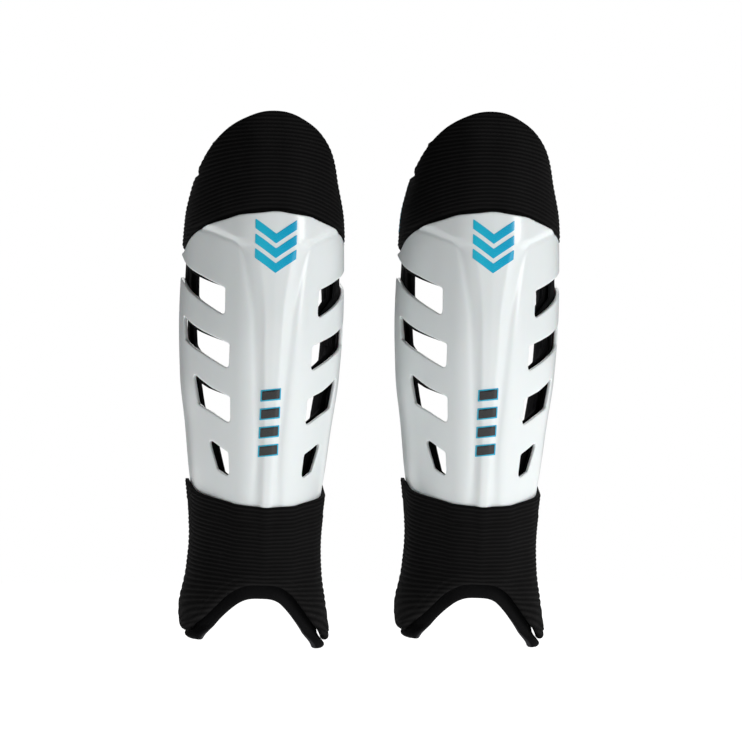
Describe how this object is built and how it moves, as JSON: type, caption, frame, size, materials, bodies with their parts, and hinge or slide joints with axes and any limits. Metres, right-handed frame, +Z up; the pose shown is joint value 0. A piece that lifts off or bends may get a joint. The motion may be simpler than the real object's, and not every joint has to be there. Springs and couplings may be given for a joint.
{
  "type": "field hockey shin guards",
  "caption": "Pair of vented white field hockey shin guards with ribbed black top pads, ankle cuffs, removable foam liners and calf straps.",
  "frame": {"origin": "midway between the two guards, at the height of the lowest ankle lobe tip, in the middle of the legs' depth", "axes": "+Z up the legs, -Y the way the shells face, +X from the left guard of the pair to the right one"},
  "size_m": [0.2368, 0.1253, 0.3298],
  "materials": {
    "shell_white": "satin moulded shell",
    "ribbed_fabric": "ribbed knit",
    "foam": "soft foam",
    "liner_fabric": "plain knit",
    "liner_foam": "brushed knit over foam",
    "hook_tape": "hook tape",
    "loop_tape": "loop tape",
    "elastic": "woven elastic",
    "webbing": "woven tape",
    "grip_rubber": "matt",
    "cyan_film": "printed film",
    "black_film": "printed film"
  },
  "bodies": {
    "left_guard": {"shell_left": "shell_white", "top_pad_cover_left": "ribbed_fabric", "top_pad_foam_left": "foam", "ankle_cuff_cover_left": "ribbed_fabric", "ankle_cuff_foam_left": "foam", "backing_liner_left": "liner_fabric", "hook_patches_left": "hook_tape", "front_emblem_left": "cyan_film", "shin_mark_edging_left": "cyan_film", "shin_mark_left": "black_film"},
    "left_liner": {"inner_liner_left": "liner_foam", "loop_patches_left": "loop_tape", "upper_strap_anchor_left": "elastic", "upper_loop_pad_left": "loop_tape", "lower_strap_anchor_left": "elastic", "lower_loop_pad_left": "loop_tape"},
    "left_upper_strap": {"upper_strap_left": "elastic"},
    "left_upper_tab": {"upper_tab_left": "webbing", "upper_tab_hooks_left": "hook_tape", "upper_tab_grip_left": "grip_rubber"},
    "left_lower_strap": {"lower_strap_left": "elastic"},
    "left_lower_tab": {"lower_tab_left": "webbing", "lower_tab_hooks_left": "hook_tape", "lower_tab_grip_left": "grip_rubber"},
    "right_guard": {"shell_right": "shell_white", "top_pad_cover_right": "ribbed_fabric", "top_pad_foam_right": "foam", "ankle_cuff_cover_right": "ribbed_fabric", "ankle_cuff_foam_right": "foam", "backing_liner_right": "liner_fabric", "hook_patches_right": "hook_tape", "front_emblem_right": "cyan_film", "shin_mark_edging_right": "cyan_film", "shin_mark_right": "black_film"},
    "right_liner": {"inner_liner_right": "liner_foam", "loop_patches_right": "loop_tape", "upper_strap_anchor_right": "elastic", "upper_loop_pad_right": "loop_tape", "lower_strap_anchor_right": "elastic", "lower_loop_pad_right": "loop_tape"},
    "right_upper_strap": {"upper_strap_right": "elastic"},
    "right_upper_tab": {"upper_tab_right": "webbing", "upper_tab_hooks_right": "hook_tape", "upper_tab_grip_right": "grip_rubber"},
    "right_lower_strap": {"lower_strap_right": "elastic"},
    "right_lower_tab": {"lower_tab_right": "webbing", "lower_tab_hooks_right": "hook_tape", "lower_tab_grip_right": "grip_rubber"}
  },
  "joints": [
    {"name": "pair_spacing", "type": "slide", "parent": "left_guard", "child": "right_guard", "axis": [1, 0, 0], "range_m": [0, 0.15]},
    {"name": "left_liner_pull_out", "type": "slide", "parent": "left_guard", "child": "left_liner", "axis": [0, 1, 0], "range_m": [0, 0.12]},
    {"name": "left_upper_strap_swing", "type": "hinge", "parent": "left_liner", "child": "left_upper_strap", "pos_m": [-0.10181, 0.03441, 0.27114], "axis": [0.1812, -0.0531, 0.982], "range_deg": [0, 66]},
    {"name": "left_upper_tab_peel", "type": "hinge", "parent": "left_upper_strap", "child": "left_upper_tab", "pos_m": [-0.02602, 0.03441, 0.26876], "axis": [-0.1192, -0.0531, 0.9914], "range_deg": [0, 50]},
    {"name": "left_lower_strap_swing", "type": "hinge", "parent": "left_liner", "child": "left_lower_strap", "pos_m": [-0.1003, 0.03313, 0.07099], "axis": [0.0224, -0.0849, 0.9961], "range_deg": [0, 66]},
    {"name": "left_lower_tab_peel", "type": "hinge", "parent": "left_lower_strap", "child": "left_lower_tab", "pos_m": [-0.04009, 0.03313, 0.0691], "axis": [0.0402, -0.0849, 0.9956], "range_deg": [0, 50]},
    {"name": "right_liner_pull_out", "type": "slide", "parent": "right_guard", "child": "right_liner", "axis": [0, 1, 0], "range_m": [0, 0.12]},
    {"name": "right_upper_strap_swing", "type": "hinge", "parent": "right_liner", "child": "right_upper_strap", "pos_m": [0.10828, 0.03441, 0.26876], "axis": [0.1192, 0.0531, -0.9914], "range_deg": [0, 66]},
    {"name": "right_upper_tab_peel", "type": "hinge", "parent": "right_upper_strap", "child": "right_upper_tab", "pos_m": [0.03249, 0.03441, 0.27114], "axis": [-0.1812, 0.0531, -0.982], "range_deg": [0, 50]},
    {"name": "right_lower_strap_swing", "type": "hinge", "parent": "right_liner", "child": "right_lower_strap", "pos_m": [0.09421, 0.03313, 0.0691], "axis": [-0.0402, 0.0849, -0.9956], "range_deg": [0, 66]},
    {"name": "right_lower_tab_peel", "type": "hinge", "parent": "right_lower_strap", "child": "right_lower_tab", "pos_m": [0.034, 0.03313, 0.07099], "axis": [-0.0224, 0.0849, -0.9961], "range_deg": [0, 50]}
  ]
}
